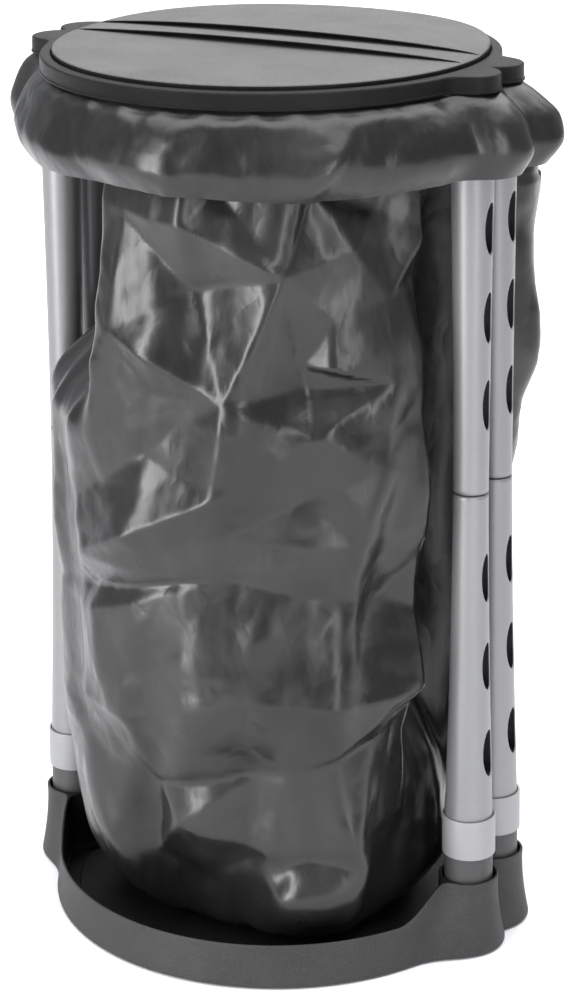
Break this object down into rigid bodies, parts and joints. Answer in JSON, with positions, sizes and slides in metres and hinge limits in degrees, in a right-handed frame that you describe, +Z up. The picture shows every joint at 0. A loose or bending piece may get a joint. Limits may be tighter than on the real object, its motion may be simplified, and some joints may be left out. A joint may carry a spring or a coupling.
{
  "type": "waste bag stand",
  "caption": "Free-standing round stand that holds a large waste bag open: base tray, paired two-piece tube legs, support ring, lift-off clamp ring and hinged lid.",
  "frame": {"origin": "on the ground under the middle of the object", "axes": "+Z up; X runs through the two pairs of legs; the lid's hinge is at +Y and the front at -Y"},
  "size_m": [0.5204, 0.4688, 0.8362],
  "materials": {
    "tray": "dark grey moulded plastic with a fine spark-eroded grain",
    "ring": "dark grey moulded plastic, satin on its outer wall",
    "lid": "dark grey moulded plastic with a fine grain",
    "plug": "dark grey moulded plastic",
    "black_plastic": "black moulded plastic",
    "film": "thin crumpled polyethylene film",
    "tube": "satin anodised tube",
    "collar": "bright satin anodised ring",
    "screw": "zinc-plated steel",
    "rubber": "black rubber"
  },
  "bodies": {
    "root": {"base_tray": "tray", "floor_grid": "tray", "support_ring": "black_plastic", "waste_bag": "film", "rubber_foot_rear_right": "rubber", "leg_screw_rear_right": "screw", "foot_plug_rear_right": "plug", "collar_rear_right": "collar", "lower_tube_rear_right": "tube", "tube_joiner_rear_right": "black_plastic", "upper_tube_rear_right": "tube", "top_plug_rear_right": "black_plastic", "ring_screw_rear_right": "screw", "rubber_foot_front_right": "rubber", "leg_screw_front_right": "screw", "foot_plug_front_right": "plug", "collar_front_right": "collar", "lower_tube_front_right": "tube", "tube_joiner_front_right": "black_plastic", "upper_tube_front_right": "tube", "top_plug_front_right": "black_plastic", "ring_screw_front_right": "screw", "rubber_foot_rear_left": "rubber", "leg_screw_rear_left": "screw", "foot_plug_rear_left": "plug", "collar_rear_left": "collar", "lower_tube_rear_left": "tube", "tube_joiner_rear_left": "black_plastic", "upper_tube_rear_left": "tube", "top_plug_rear_left": "black_plastic", "ring_screw_rear_left": "screw", "rubber_foot_front_left": "rubber", "leg_screw_front_left": "screw", "foot_plug_front_left": "plug", "collar_front_left": "collar", "lower_tube_front_left": "tube", "tube_joiner_front_left": "black_plastic", "upper_tube_front_left": "tube", "top_plug_front_left": "black_plastic", "ring_screw_front_left": "screw"},
    "clamp_ring": {"clamp_ring": "ring", "hinge_pin_right": "screw", "hinge_pin_left": "screw"},
    "lid": {"lid": "lid"}
  },
  "joints": [
    {"name": "clamp_ring_lift", "type": "slide", "parent": "root", "child": "clamp_ring", "axis": [0, 0, 1], "range_m": [0, 0.12]},
    {"name": "lid_hinge", "type": "hinge", "parent": "clamp_ring", "child": "lid", "pos_m": [0, 0.204, 0.8185], "axis": [-1, 0, 0], "range_deg": [0, 100]}
  ]
}
